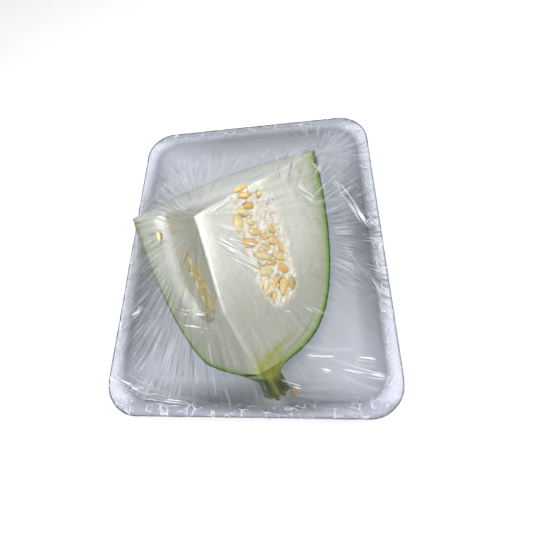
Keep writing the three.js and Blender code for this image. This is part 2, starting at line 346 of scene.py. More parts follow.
def seed_material(name, dark, light):
    """Smooth seed skin: paler rim, warm middle, fine fibres."""
    n = Nodes(name)
    patchy = n.noise(3.2, 4, 0.6)
    colour = n.mix(n.span(patchy, 0.3, 0.7), dark, light)
    colour = n.mix(n.value("rim"), colour, tone(218, 174, 92))
    fibre = n.noise(0.7, 4, 0.7)
    colour = n.mix(n.span(fibre, 0.5, 0.8, 0, 0.35), colour, tone(246, 236, 206))
    n.surface(Base_Color=colour, Roughness=n.span(patchy, 0, 1, 0.28, 0.5), Normal=n.bump(fibre, 0.15, 0.6),
              Subsurface_Weight=0.15, Subsurface_Scale=0.002, Subsurface_Radius=(1.0, 0.7, 0.4))
    return n.material


def stem_material():
    """Olive ribbed stalk, yellow where the knife shaved it, darkened by painted shade in the grooves, and
    browner at the end.
    """
    n = Nodes("stem")
    along = n.value("along")
    fibres = n.noise(1.1, 6, 0.75, n.stretched(1, 1, 6))
    green = n.mix(n.span(fibres, 0.3, 0.7), tone(44, 64, 0), tone(112, 126, 6))
    # painted shade darkens the grooves between the ribs and the end face
    colour = n.mix(n.math("MULTIPLY", n.value("groove_shade"), 0.75), green, tone(20, 34, 0))
    shaved = n.mix(n.span(fibres, 0.3, 0.7), tone(96, 108, 2), tone(158, 160, 36))
    colour = n.mix(n.value("shaved"), colour, shaved)
    brown = n.mix(fibres, tone(44, 30, 14), tone(120, 88, 50))
    dry = n.span(n.math("ADD", along, n.span(fibres, 0, 1, -0.25, 0.25)), 0.72, 1.0)
    colour = n.mix(dry, colour, brown)
    height = n.bump(fibres, 0.6, 0.9)
    n.surface(Base_Color=colour, Roughness=n.span(fibres, 0, 1, 0.45, 0.75), Normal=height)
    return n.material


def foam_material():
    """White foam: pressed beads under a satin skin, with painted shade greying it low down in the dish."""
    n = Nodes("foam")
    bead = n.cells(2.6)
    edge = n.cells(2.6, "DISTANCE_TO_EDGE")
    colour = n.mix(n.span(n.noise(40, 3), 0.3, 0.7), tone(208, 211, 222), tone(220, 222, 232))
    axes = n.add("ShaderNodeSeparateXYZ")
    n.link(n.place, axes.inputs[0])
    # painted shade: the foam greys towards the dish floor, where the walls and the melon shade it
    low = n.span(axes.outputs["Z"], (TRAY_FLOOR + 1) * MM, (TRAY_FLOOR + 12) * MM, 0.8, 0)
    colour = n.mix(low, colour, tone(182, 184, 193))
    colour = n.mix(n.span(edge, 0.0, 0.12, 0.3, 0), colour, tone(182, 186, 200))
    colour = n.mix(n.span(n.noise(0.9, 4, 0.7), 0.55, 0.75, 0, 0.35), colour, tone(236, 238, 246))
    height = n.bump(edge, 0.12, 0.5)
    height = n.bump(n.noise(0.6, 3), 0.08, 0.6, height)
    n.surface(Base_Color=colour, Roughness=n.span(bead, 0, 0.6, 0.42, 0.6), Normal=height,
              Subsurface_Weight=0.1, Subsurface_Scale=0.003, Subsurface_Radius=(1.0, 1.0, 1.0))
    return n.material


def film_material():
    """Clear stretched film: it shines, carries painted highlights on its streaks, creases, crinkles and
    glints and painted shade on its dark streaks, and is greyer where it is folded.
    """
    n = Nodes("film")
    n.tree.nodes.remove(n.shader)
    highlight_streaks, shade_streaks_and_folds, relief = 0.0, 0.0, 0.0
    for name in FILM_CORNERS:
        place = n.add("ShaderNodeCombineXYZ")
        n.link(n.value("turn_" + name), place.inputs["X"])
        n.link(n.value("reach_" + name), place.inputs["Y"])
        lines = n.noise(1.5, 4, 0.65, place.outputs[0])
        pull = n.value("pull_" + name)
        # painted highlights and painted shade in streaks that leave this corner
        light = n.math("MULTIPLY", n.span(lines, 0.55, 0.7), pull)
        dark = n.math("MULTIPLY", n.span(lines, 0.47, 0.34), pull)
        highlight_streaks = n.math("MAXIMUM", highlight_streaks, light)
        shade_streaks_and_folds = n.math("MAXIMUM", shade_streaks_and_folds, dark)
        relief = n.math("ADD", relief, n.math("MULTIPLY", lines, pull))
    # painted highlights on the crinkled film along the rim
    folds = n.span(n.cells(6, "DISTANCE_TO_EDGE", n.warped(4)), 0.0, 0.1, 1.6, 0)
    folds = n.math("MULTIPLY", folds, n.span(n.noise(9, 3), 0.45, 0.6))
    crinkle_highlight = n.math("MULTIPLY", n.value("crinkle_highlight"), folds)
    glint_place = n.add("ShaderNodeCombineXYZ")
    n.link(n.value("glint_across"), glint_place.inputs["X"])
    n.link(n.value("glint_along"), glint_place.inputs["Y"])
    # painted highlights: short white creases in each glint patch
    glint = n.span(n.noise(1.1, 2, 0.5, glint_place.outputs[0]), 0.52, 0.6)
    glint = n.math("MULTIPLY", glint, n.value("glint"))
    painted_highlights = n.math("MAXIMUM", n.math("MAXIMUM", highlight_streaks, crinkle_highlight), n.value("crease"))
    painted_highlights = n.math("MAXIMUM", n.math("MULTIPLY", painted_highlights, 0.5), n.math("MULTIPLY", glint, 0.9))
    shade_streaks_and_folds = n.math("MAXIMUM", shade_streaks_and_folds, n.value("layers"))
    height = n.bump(relief, 0.8, 0.5)
    height = n.bump(n.noise(6, 4, 0.6), 0.6, 0.35, height)
    clear = n.add("ShaderNodeBsdfTransparent")
    n.link(n.mix(shade_streaks_and_folds, (0.965, 0.97, 0.975), (0.5, 0.51, 0.54)), clear.inputs["Color"])
    haze = n.add("ShaderNodeBsdfDiffuse")
    haze.inputs["Color"].default_value = (0.86, 0.88, 0.92, 1)
    shine = n.add("ShaderNodeBsdfGlossy")
    shine.inputs["Roughness"].default_value = 0.07
    n.link(height, shine.inputs["Normal"])
    hazed = n.add("ShaderNodeMixShader")
    n.link(n.math("ADD", painted_highlights, 0.012), hazed.inputs["Fac"])
    n.link(clear.outputs[0], hazed.inputs[1])
    n.link(haze.outputs[0], hazed.inputs[2])
    rim = n.add("ShaderNodeFresnel")
    rim.inputs["IOR"].default_value = 1.36
    n.link(height, rim.inputs["Normal"])
    film = n.add("ShaderNodeMixShader")
    n.link(rim.outputs[0], film.inputs["Fac"])
    n.link(hazed.outputs[0], film.inputs[1])
    n.link(shine.outputs[0], film.inputs[2])
    n.link(film.outputs[0], n.output.inputs["Surface"])
    return n.material


def floor_material():
    n = Nodes("floor")
    grain = n.noise(60, 3)
    n.surface(Base_Color=n.mix(grain, tone(238, 238, 238), tone(243, 243, 243)), Roughness=0.8)
    return n.material


# ---------------------------------------------------------------- tray

def outline(inset, side_steps, end_steps, corner_steps):
    """The tray's rounded outline, drawn in by inset, anticlockwise from the middle of the right side."""
    radius = CORNER - inset * 0.35
    straight_x = HALF_WIDTH - inset - radius
    straight_y = HALF_LENGTH - inset - radius
    points = []
    for quarter in range(4):
        sign_x = 1 if quarter in (0, 3) else -1
        sign_y = 1 if quarter < 2 else -1
        for step in range(corner_steps):
            angle = (quarter + step / corner_steps) * math.pi / 2
            points.append((sign_x * straight_x + radius * math.cos(angle),
                           sign_y * straight_y + radius * math.sin(angle)))
        long_side = quarter % 2 == 1
        count = side_steps if long_side else end_steps
        start = (sign_x * straight_x + radius * math.cos((quarter + 1) * math.pi / 2),
                 sign_y * straight_y + radius * math.sin((quarter + 1) * math.pi / 2))
        run = (0, -2 * straight_y * sign_y) if long_side else (-2 * straight_x * sign_x, 0)
        for step in range(count):
            points.append((start[0] + run[0] * step / count, start[1] + run[1] * step / count))
    return points


def wall_point(turn, depth):
    """Inset and height on the wall's curve from the floor up to the lip, at a depth in the foam."""
    rise = TRAY_RIM - TRAY_BOTTOM - FOAM - WALL_BELOW_RIM
    inset = LIP + WALL_RUN * (1 - math.sin(turn)) - depth * math.sin(turn)
    return inset, TRAY_FLOOR + rise * (1 - math.cos(turn)) - depth * math.cos(turn)


def lip_points():
    """The rolled lip's round outer edge and gently crowned top."""
    points = [(2.4, TRAY_RIM - 5.0)]
    for step in range(9):
        angle = math.radians(-90 + step * 22.5)
        points.append((2.4 - 2.4 * math.cos(angle), TRAY_RIM - 2.5 + 2.5 * math.sin(angle)))
    points.append((LIP - 4.5, TRAY_RIM - 0.05))
    points.append((LIP - 2.2, TRAY_RIM - 0.5))
    return points


def make_tray():
    turns = [math.radians(t) for t in (0, 7, 15, 24, 33, 42, 52, 62, 71, 79)]
    inside = [wall_point(t, 0) for t in reversed([*turns, math.radians(87)])]
    underside = [wall_point(t, FOAM) for t in turns]
    floor = [(inset, TRAY_FLOOR) for inset in (30, 42, 60, 80, 98)]
    base = [(inset, TRAY_BOTTOM) for inset in (98, 60, 30)]
    section = [*base, *underside, *lip_points(), *inside, *floor]
    steps = (48, 40, 14)
    points = []
    for inset, height in section:
        points += [(x, y, height) for x, y in outline(inset, *steps)]
    count = len(outline(0, *steps))
    faces = ring_faces(len(section), count)
    faces.append(tuple(reversed(range(count))))
    faces.append(tuple(range((len(section) - 1) * count, len(section) * count)))
    tray = mesh_object("tray_detail", points, faces)
    place(tray, "foam", foam_material(), "foam_tray")
    return tray


# ---------------------------------------------------------------- melon

# The seed core as the right cut shows it: along the axis and across from the ridge
CORE_ALONG, CORE_REACH = 20, 46
CORE_ACROSS, CORE_HALF_WIDTH = 41, 17
# The scooped recess of the left cut, as its solid was made
RECESS_OUTER, RECESS_END = 47, 62


def melon_radius(z):
    share = np.abs(z - WIDEST) / (STEM_END - WIDEST)
    return MELON_RADIUS * np.maximum(1 - share ** POINTING, 0) ** (1 / BLUNTNESS)


def rind_depth(local):
    """How far points lie inside the rind, in the melon's own frame."""
    step = 0.2
    inside = melon_radius(local[:, 2]) - np.hypot(local[:, 0], local[:, 1])
    slope = (melon_radius(local[:, 2] + step) - melon_radius(local[:, 2] - step)) / (2 * step)
    return inside / np.sqrt(1 + slope ** 2)


class Places:
    """Where the melon's points lie, in its own frame: along it, and across and below its two long cuts."""

    def __init__(self, local, normals):
        self.local = local
        self.rel = local - RIDGE
        self.along = local[:, 2]
        self.depth = rind_depth(local)
        self.right_across = self.rel @ RIGHT_ACROSS
        self.left_across = self.rel @ LEFT_ACROSS
        self.sunk_right = -(self.rel @ RIGHT_OUT)
        self.sunk_left = -(self.rel @ LEFT_OUT)
        facing = 0.3
        faces_right = normals @ RIGHT_OUT
        faces_left = normals @ LEFT_OUT
        self.on_right = smoothstep(1.6, 0.3, self.sunk_right) * (faces_right > facing)
        self.outside = smoothstep(1.2, 0.4, self.depth) * (faces_right < facing) * (faces_left < facing)
        self.inner = smoothstep(3, 8, self.depth)
        self.from_stem = np.hypot(local[:, 0] - STEM_FOOT[0], local[:, 1] - STEM_FOOT[1])
        self.rough = noise_at(local, 7.0)
        self.fine = noise_at(local, 2.4, 4)


def core_share(at):
    """1 in the spongy seed core as it shows on the right cut, fading to 0 round and below it."""
    middle = CORE_ACROSS + 2.5 * np.sin(at.along / 22)
    wide = CORE_HALF_WIDTH * np.sqrt(np.clip(1 - ((at.along - CORE_ALONG) / CORE_REACH) ** 4, 0, 1))
    core = smoothstep(2.5, -2.5, np.abs(at.right_across - middle) - wide + 3.0 * at.rough)
    top, bottom = CORE_ALONG + CORE_REACH, CORE_ALONG - CORE_REACH
    core = core * smoothstep(top + 2, top - 4, at.along) * smoothstep(bottom - 8, bottom - 2, at.along)
    return core * smoothstep(9, 1, at.sunk_right)


def stain_share(at, core):
    """Golden patches of pulp between the seeds of the core."""
    patches = smoothstep(-0.05, 0.5, noise_at(at.local + 50, 4.5))
    inside = smoothstep(20, 26, at.right_across) * smoothstep(58, 52, at.right_across)
    return 0.85 * core * patches * smoothstep(-16, 50, at.along) * inside


def recess_shares(at):
    """The recess, its outer and inner walls, and the clump of pulp that lies in it."""
    recess = smoothstep(0.8, 3.0, at.sunk_left) * smoothstep(1.5, 3, at.left_across)
    recess *= smoothstep(RECESS_OUTER + 4, RECESS_OUTER - 1, at.left_across)
    recess *= smoothstep(12, 8, at.sunk_left) * smoothstep(RECESS_END + 4, RECESS_END - 2, at.along)
    outer_wall = recess * smoothstep(6.4, 4.5, at.sunk_left) * smoothstep(30, 34, at.left_across)
    inner_wall = recess * smoothstep(9, 5, at.left_across) * smoothstep(7.4, 5.0, at.sunk_left)
    clump_line = 35 - 0.36 * (at.along - 18)
    pulp = recess * smoothstep(8, 3, np.abs(at.left_across - clump_line) + 2.5 * at.rough)
    pulp *= smoothstep(10, 17, at.along) * smoothstep(60, 54, at.along)
    return recess, outer_wall, inner_wall, pulp


def shoulder_drop(at):
    """1 along the recess's outer edge, which is worn round, fading to 0 outwards."""
    outer_edge = RECESS_OUTER - 0.62 * np.maximum(at.along - 36, 0)
    drop = smoothstep(10, 0, at.left_across - outer_edge) * (at.left_across > outer_edge - 1)
    return drop * smoothstep(3, 1, at.sunk_left) * smoothstep(66, 50, at.along)


def far_cut_pith(at):
    """1 along the white pith that crosses the far cut, which is the wedge's lowest plane in z."""
    from_ridge = np.hypot(at.rel[:, 0], at.rel[:, 1])
    middle = 41 - 8 * at.rough
    cut = LEFT_SLANT * at.left_across + RIGHT_SLANT * at.right_across
    band = smoothstep(17, 6, np.abs(from_ridge - middle))
    return band * smoothstep(2.5, 0.5, at.rel[:, 2] - cut)


def ridge_pith(at):
    return 0.12 * at.on_right * smoothstep(14, 3, at.right_across) * smoothstep(60, 25, at.along)


def streak_share(at):
    """The yellow-green streak that runs up from the stem, and the same tint round its foot."""
    streak_line = 9 + (94 - at.along) * 3.1
    streak = smoothstep(13, 1, np.abs(at.right_across - streak_line) + 2 * at.rough) * at.on_right
    streak *= smoothstep(80, 91, at.along) * 0.9
    foot = smoothstep(22, 9, at.from_stem + 2 * at.rough) * smoothstep(82, 97, at.along)
    return np.maximum(streak, 0.85 * foot * at.on_right)


def greening_share(at):
    """The thin green line inside the rind near the stem, and the greener flesh of the shoulder."""
    line = smoothstep(1.7, 0.2, np.abs(at.depth - 10.5 - 1.5 * at.rough)) * smoothstep(72, 84, at.along)
    line *= at.on_right * smoothstep(26, 34, at.right_across) * 0.6
    shoulder = smoothstep(84, 98, at.along) * smoothstep(12, 3, at.depth) * 0.45
    return np.maximum(line, shoulder)


def softened(at, drop):
    """The points with the ridge and the recess's edge worn round, and the flesh drawn up to the stem."""
    ridge_rounding, edge_rounding, neck_height = 1.9, 2.4, 4.2
    ridge = smoothstep(11, 0, np.hypot(at.right_across, at.sunk_right)) * smoothstep(56, 14, at.along)
    ridge *= smoothstep(-50, 0, at.along - 0.3 * np.abs(at.right_across))
    ridge_out = (RIGHT_OUT + LEFT_OUT) / np.linalg.norm(RIGHT_OUT + LEFT_OUT)
    points = at.local - ridge_out * (ridge_rounding * ridge ** 2)[:, None]
    neck = np.exp(-np.maximum(at.from_stem - 8.5, 0) / 4.5) * smoothstep(88, 98, at.along)
    points[:, 2] += neck_height * neck
    return points - LEFT_OUT * (edge_rounding * drop ** 2)[:, None]


def roughness(at, core, recess, pulp):
    """How far the flesh stands out or in: fine grain, sponge, clumps of pulp, and holes in the core."""
    lift = 0.22 * at.fine * at.inner + 0.9 * at.fine * core + 0.5 * at.rough * core
    lift += 0.3 * at.rough * recess + 0.12 * at.rough * (1 - at.inner)
    lift += pulp * (1.6 + 2.2 * noise_at(at.local * [1, 1, 0.7] + 9, 4.0))
    lift -= 1.2 * core * smoothstep(0.15, 0.6, noise_at(at.local * [1, 1, 0.45] + 20, 3.4))
    return lift


def make_melon():
    """The wedge's own solid with a fine skin, softened edges, sponge, and what its material reads."""
    melon = copy_of_node("melon_wedge", "melon_detail")
    apply_modifier(melon, "REMESH", mode="VOXEL", voxel_size=0.95 * MM, use_smooth_shade=True)
    apply_modifier(melon, "SMOOTH", factor=0.5, iterations=2)
    at = Places(to_melon(points_of(melon)), normals_of(melon) @ TURN_ARRAY)
    core = core_share(at)
    recess, outer_wall, inner_wall, pulp = recess_shares(at)
    drop = shoulder_drop(at)
    lift = roughness(at, core, recess, pulp)
    set_points(melon, from_melon(softened(at, drop)) + normals_of(melon) * lift[:, None])
    set_values(melon, "rind_depth", at.depth)
    shares = {
        # painted shade, greying the flesh towards the stem end
        "stem_end_shade": 0.75 * smoothstep(12, 74, at.along) * at.inner,
        "core": core,
        # painted shade on the recess floor; its walls are left out of it
        "recess": recess - outer_wall - 0.7 * inner_wall,
        "stain": stain_share(at, core),
        # pith on the far cut, the worn edge and the ridge; the whiteness on the recess's walls is painted
        # light
        "pith_and_lit_walls": np.maximum.reduce([far_cut_pith(at), 0.6 * drop, 0.9 * outer_wall, 0.5 * inner_wall,
                                   ridge_pith(at)]),
        "pulp": pulp,
        "streak": streak_share(at),
        "greening": greening_share(at),
        "outside": at.outside,
    }
    for name, value in shares.items():
        set_values(melon, name, np.clip(value, 0, 1))
    place(melon, "melon_flesh", melon_material(), "melon_wedge")
    return melon


# ---------------------------------------------------------------- stem

def stem_radius(share):
    """The stalk's radius from its flared foot, through the waist and the collar, to the dry end."""
    foot, waist, collar, tip = 13.0, 7.2, 7.7, 5.9
    radius = waist + (foot - waist) * math.exp(-share * 9)
    radius += (collar - waist) * smoothstep(0.4, 0.72, share)
    return radius + (tip - collar) * smoothstep(0.86, 1.0, share)


def make_stem():
    """The stalk: a wide foot that grows out of the rind, five ribs, a shaved side and a ragged end."""
    length, ribs, sides, steps, sink, cap_rings = 17.0, 5, 120, 70, 1.5, 4
    shave_slope = math.tan(math.radians(35))
    points, along_values, groove_shade_values, shaved_values = [], [], [], []
    for i in range(steps):
        share = i / (steps - 1)
        for j in range(sides):
            angle = 2 * math.pi * j / sides
            rib = math.cos(ribs * angle + 0.9 * share)
            fine_rib = math.cos(17 * angle + 2 * share)
            crag = noise.fractal(Vector((math.cos(angle) * 2, math.sin(angle) * 2, share * 2.5)), 1, 2, 4)
            reach = stem_radius(share) * (1 + 0.06 * rib + 0.02 * fine_rib) + (0.3 + 0.4 * share) * crag
            ragged = 1.8 * crag * share ** 6 - 0.8 * share ** 8
            point = np.array([STEM_FOOT[0] * (1 - share) + reach * math.cos(angle),
                              STEM_FOOT[1] * (1 - share) + reach * math.sin(angle),
                              STEM_END - sink + share * (length + sink) + ragged])
            proud = (point - RIDGE) @ RIGHT_OUT - 0.15 - max(point[2] - STEM_END - 1.5, 0) * shave_slope
            shaved = smoothstep(-3.2, 1.2, proud)
            point -= RIGHT_OUT * max(proud, 0)
            points.append(point)
            along_values.append(share)
            # painted shade: how deep in a groove the point lies
            groove_shade = min(max(0.5 - 0.5 * rib - 0.25 * fine_rib - 0.3 * crag, 0), 1)
            groove_shade_values.append(groove_shade * (1 - shaved))
            shaved_values.append(shaved)
    for k in range(1, cap_rings + 1):
        shrink = 1 - k / (cap_rings + 1)
        for j in range(sides):
            x, y, z = points[(steps - 1) * sides + j]
            dip = noise.noise(Vector((x * shrink, y * shrink, 3))) * 0.9 - 1.1 * (1 - shrink)
            points.append(np.array([x * shrink, y * shrink, z + dip]))
            along_values.append(1.0)
            groove_shade_values.append(0.6)
            shaved_values.append(0.0)
    rings = steps + cap_rings
    faces = ring_faces(rings, sides)
    faces.append(tuple(reversed(range(sides))))
    faces.append(tuple(range((rings - 1) * sides, rings * sides)))
    stem = mesh_object("stem_detail", from_melon(points), faces)
    set_values(stem, "along", along_values)
    set_values(stem, "groove_shade", groove_shade_values)
    set_values(stem, "shaved", shaved_values)
    place(stem, "stem", stem_material(), "stem")
    return stem


# ---------------------------------------------------------------- seeds

PALE_SEEDS = {"seed_right_03", "seed_right_05", "seed_right_06", "seed_right_07", "seed_right_15",
              "seed_right_18", "seed_right_20", "seed_left_01", "seed_left_02", "seed_left_04",
              "seed_stray_01", "seed_left_06"}
DULL_SEEDS = {"seed_right_23", "seed_loose", "seed_left_03", "seed_left_05", "seed_left_07", "seed_left_08"}


def seed_kind(node):
    if node in PALE_SEEDS:
        return "pale"
    if node in DULL_SEEDS:
        return "dull"
    return random.choice(("gold", "amber"))


def make_seed(node, materials):
    """A plump teardrop with a raised rim, from the seed's own solid."""
    seed = copy_of_node(node, node + "_detail")
    apply_modifier(seed, "WELD", merge_threshold=0.02 * MM)
    apply_modifier(seed, "SUBSURF", levels=3, render_levels=3)
    seed.data.polygons.foreach_set("use_smooth", [True] * len(seed.data.polygons))
    points = points_of(seed)
    centre = points.mean(axis=0)
    spread = points - centre
    axes = np.linalg.svd(spread, full_matrices=False)[2]
    length, width, thick = (spread @ axes.T).T
    half_length, half_width = np.abs(length).max(), np.abs(width).max()
    edge = np.sqrt((length / half_length) ** 2 + (width / half_width) ** 2)
    rim = smoothstep(0.78, 0.93, edge)
    swell = 1.14 + 0.05 * noise_at(points, 3.0)
    spread = spread * swell[:, None]
    spread -= axes[2] * (0.12 * thick * smoothstep(0.55, 0.8, edge) * (1 - rim))[:, None]
    set_points(seed, centre + spread)
    set_values(seed, "rim", rim * 0.7)
    place(seed, "seed", materials[seed_kind(node)], node)


def make_seeds():
    materials = {
        "gold": seed_material("seed_gold", tone(224, 182, 98), tone(250, 228, 164)),
        "amber": seed_material("seed_amber", tone(216, 164, 72), tone(246, 210, 130)),
        "pale": seed_material("seed_pale", tone(230, 214, 142), tone(250, 242, 196)),
        "dull": seed_material("seed_dull", tone(176, 150, 90), tone(212, 190, 132)),
    }
    for node in sorted(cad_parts):
        if node.startswith("seed_"):
            make_seed(node, materials)


# ---------------------------------------------------------------- cling film

FILM_CELL = 1.5
FILM_LIFT = 0.35
FILM_CLEARANCE = 0.25
HELD_EDGE = 4  # how far in from the lip's edge the film is held down
DEEP = -100.0
CREASE_HEIGHT = 0.7
# Streaks come from noise read at these scales: per radian of turn, and per millimetre along a streak
TURN_SCALE, LENGTH_SCALE = 55, 0.05


def height_below(trees, x, y):
    """The highest point of the given shapes under a place, or a far depth if there is none."""
    top = DEEP
    for tree in trees:
        hit = tree.ray_cast(Vector((x * MM, y * MM, 0.3)), Vector((0, 0, -1)))[0]
        if hit:
            top = max(top, hit.z / MM)
    return top


def stretched_heights(pieces):
    """Heights of a tight skin pinned on the lip and held up by the pieces, on a grid."""
    graph = bpy.context.evaluated_depsgraph_get()
    trees = [BVHTree.FromObject(piece, graph) for piece in pieces]
    xs = np.arange(-HALF_WIDTH, HALF_WIDTH + FILM_CELL, FILM_CELL)
    ys = np.arange(-HALF_LENGTH, HALF_LENGTH + FILM_CELL, FILM_CELL)
    props = np.array([[height_below(trees, x, y) for y in ys] for x in xs]) + FILM_LIFT
    corner_x = np.maximum(np.abs(xs) - (HALF_WIDTH - CORNER), 0)[:, None]
    corner_y = np.maximum(np.abs(ys) - (HALF_LENGTH - CORNER), 0)[None, :]
    pinned = np.maximum(corner_x, corner_y) > CORNER - HELD_EDGE
    pinned |= np.hypot(corner_x, corner_y) > CORNER - HELD_EDGE
    rim = TRAY_RIM + FILM_LIFT
    distance = np.hypot(xs[:, None] - PEAK[0], ys[None, :] - PEAK[1])
    first_slope = 0.55
    skin = np.maximum(props, np.maximum(rim, PEAK[2] - first_slope * distance))
    skin[pinned] = rim
    odd = (np.add.outer(np.arange(len(xs)), np.arange(len(ys))) % 2).astype(bool)
    inner = ~pinned
    inner[[0, -1], :] = False
    inner[:, [0, -1]] = False
    over_relax, rounds, smoothing_rounds = 1.94, 500, 2
    for _ in range(rounds):
        for colour in (odd, ~odd):
            mean = np.zeros_like(skin)
            mean[1:-1, 1:-1] = (skin[2:, 1:-1] + skin[:-2, 1:-1] + skin[1:-1, 2:] + skin[1:-1, :-2]) / 4
            relaxed = np.maximum(skin + over_relax * (mean - skin), props)
            where = colour & inner
            skin[where] = relaxed[where]
    for _ in range(smoothing_rounds):
        soft = skin.copy()
        soft[1:-1, 1:-1] = (skin[2:, 1:-1] + skin[:-2, 1:-1] + skin[1:-1, 2:] + skin[1:-1, :-2]
                            + 2 * skin[1:-1, 1:-1]) / 6
        skin = np.maximum(soft, props - 0.1)
    return xs, ys, skin


def sample(xs, ys, grid, x, y):
    """Grid heights between its points."""
    i = np.clip((x - xs[0]) / FILM_CELL, 0, len(xs) - 1.001)
    j = np.clip((y - ys[0]) / FILM_CELL, 0, len(ys) - 1.001)
    i0, j0 = i.astype(int), j.astype(int)
    di, dj = i - i0, j - j0
    near = grid[i0, j0] * (1 - di) + grid[i0 + 1, j0] * di
    far = grid[i0, j0 + 1] * (1 - di) + grid[i0 + 1, j0 + 1] * di
    return near * (1 - dj) + far * dj


def fan(x, y, at, heading, spread, count, start, end, seed):
    """Creases that leave a point like the ribs of a fan: 1 on a crease's crest, 0 between."""
    dx, dy = x - at[0], y - at[1]
    reach = np.hypot(dx, dy)
    off = (np.degrees(np.arctan2(dy, dx)) - heading + 180) % 360 - 180
    crest = np.zeros_like(x)
    draw = random.Random(seed)
    for i in range(count):
        line = spread * (2 * (i + draw.random()) / count - 1)
        width = 0.55 + 0.5 * draw.random()
        begin = start + (end - start) * 0.35 * draw.random()
        stop = end - (end - start) * 0.45 * draw.random()
        wander = 1.5 * np.sin(reach / 17 + draw.random() * 6)
        side = np.radians(off - line) * reach + wander * 0.4
        ridge = np.exp(-(side / width) ** 2) * smoothstep(begin - 6, begin + 6, reach)
        ridge *= smoothstep(stop + 8, stop - 12, reach) * (0.5 + 0.5 * draw.random())
        crest = np.maximum(crest, ridge)
    return crest


def crease_line(x, y, start, end, width):
    """One crease from start to end, tapering at both ends."""
    run = np.subtract(end, start)
    length = np.hypot(*run)
    along = ((x - start[0]) * run[0] + (y - start[1]) * run[1]) / length
    side = ((x - start[0]) * run[1] - (y - start[1]) * run[0]) / length
    bow = 0.06 * length * np.sin(np.clip(along / length, 0, 1) * math.pi)
    taper = smoothstep(-2, 0.2 * length, along) * smoothstep(length + 2, 0.7 * length, along)
    return np.exp(-((side - bow) / width) ** 2) * taper


# The corners that the film is pulled over, in the melon's own frame
FILM_CORNERS = {
    "peak": RIDGE,
    "right": RIDGE + RIGHT_ACROSS * 117 + [0, 0, RIGHT_SLANT * 117],
    "left": RIDGE + LEFT_ACROSS * 92 + [0, 0, LEFT_SLANT * 92],
    "stem": np.array([0, 0, STEM_END + 17.0]),
    "flank": RIDGE + RIGHT_ACROSS * 55 + [0, 0, 22],
}
# How far from a corner its painted highlight and shade streaks begin, where that is not at the corner
# itself
CREASE_START = {"stem": 12, "flank": 36}
# Fans of creases: where from, heading in degrees, half spread, how many, and the reach they run over
FANS = [
    ("peak", -158, 24, 22, 6, 95),
    ("peak", -22, 24, 10, 20, 55),
    ("peak", 60, 40, 12, 10, 110),
    ("peak", 125, 30, 10, 12, 100),
    ("right", 20, 40, 14, 4, 60),
    ("right", -60, 30, 8, 8, 60),
    ("left", 150, 45, 8, 3, 30),
    ("stem", -40, 60, 10, 6, 40),
]
# Single long creases near the tray's near end, each from one point to another
CREASES = [
    ((-92, -98), (-20, -119), 1.0), ((-84, -108), (-40, -120), 0.8), ((-100, -80), (-84, -112), 0.8),
    ((38, -84), (78, -84), 1.0), ((52, -90), (92, -96), 0.8), ((40, -60), (60, -64), 0.8),
    ((62, -100), (96, -112), 0.8), ((-98, -40), (-60, -62), 0.8), ((70, -10), (98, -40), 0.8),
]
# Patches of painted highlights on short creases: where, their heading in degrees, half length and half
# width
GLINTS = [
    (47, 20, -32, 8, 5), (56, 47, -46, 5, 4), (-4, -10, 50, 10, 1.8), (4, -26, 2, 12, 8),
    (8, -38, -20, 13, 4), (29, -63, -17, 6, 2), (48, -63, -21, 6, 2.4), (51, -91, 0, 11, 1.8),
    (79, -91, -5, 10, 1.8), (51, -98, -13, 7, 1.8), (79, -100, -12, 17, 2.4), (32, -107, -15, 7, 2.4),
    (-65, -114, -14, 30, 2), (-60, -119, -5, 20, 1.6), (-23, -75, -9, 18, 1.8), (-27, -66, -14, 12, 1.4),
    (-95, -105, -20, 14, 2.5), (90, -35, -50, 14, 3), (82, 25, -55, 26, 5), (-90, -60, 205, 16, 3),
]
# How the film turns under the lip and lies against the tray: inset and height
WRAP = [
    (0.3, TRAY_RIM + 0.1), (-0.45, TRAY_RIM - 1.2), (-0.6, TRAY_RIM - 3), (-0.2, TRAY_RIM - 5),
    (4.5, TRAY_RIM - 9.5), (9.5, TRAY_RIM - 15), (14.5, TRAY_RIM - 20), (19.5, 1.6), (24, 0.35),
    (32, 0.3), (42, 0.3), (52, 0.3), (60, 0.3),
]


def set_pulls(film, places, top_count):
    """For each corner: the turn and reach of every point about it, and how strongly its painted highlight
    and shade streaks show there.
    """
    middle = from_melon([[10, 10, 30]])[0][:2]
    wrapped_pull = 0.25
    for name, corner in FILM_CORNERS.items():
        at = from_melon([corner])[0][:2]
        offset = places[:, :2] - at
        reach = np.hypot(offset[:, 0], offset[:, 1])
        angle = np.arctan2(offset[:, 1], offset[:, 0])
        if name == "peak":
            leftward = smoothstep(-0.3, 0.5, offset @ [-0.99, -0.14] / np.maximum(reach, 1))
            pull = smoothstep(0, 14, reach) * smoothstep(140, 80, reach) * (0.22 + 0.7 * leftward)
        else:
            outward = (at - middle) / np.linalg.norm(at - middle)
            sector = smoothstep(0.1, 0.7, offset @ outward / np.maximum(reach, 1))
            start = CREASE_START.get(name, 2)
            pull = sector * smoothstep(start, start + 8, reach) * smoothstep(start + 83, start + 33, reach)
        pull[top_count:] *= wrapped_pull
        set_values(film, "turn_" + name, np.abs(angle) * TURN_SCALE * MM)
        set_values(film, "reach_" + name, reach * LENGTH_SCALE * MM)
        set_values(film, "pull_" + name, pull)


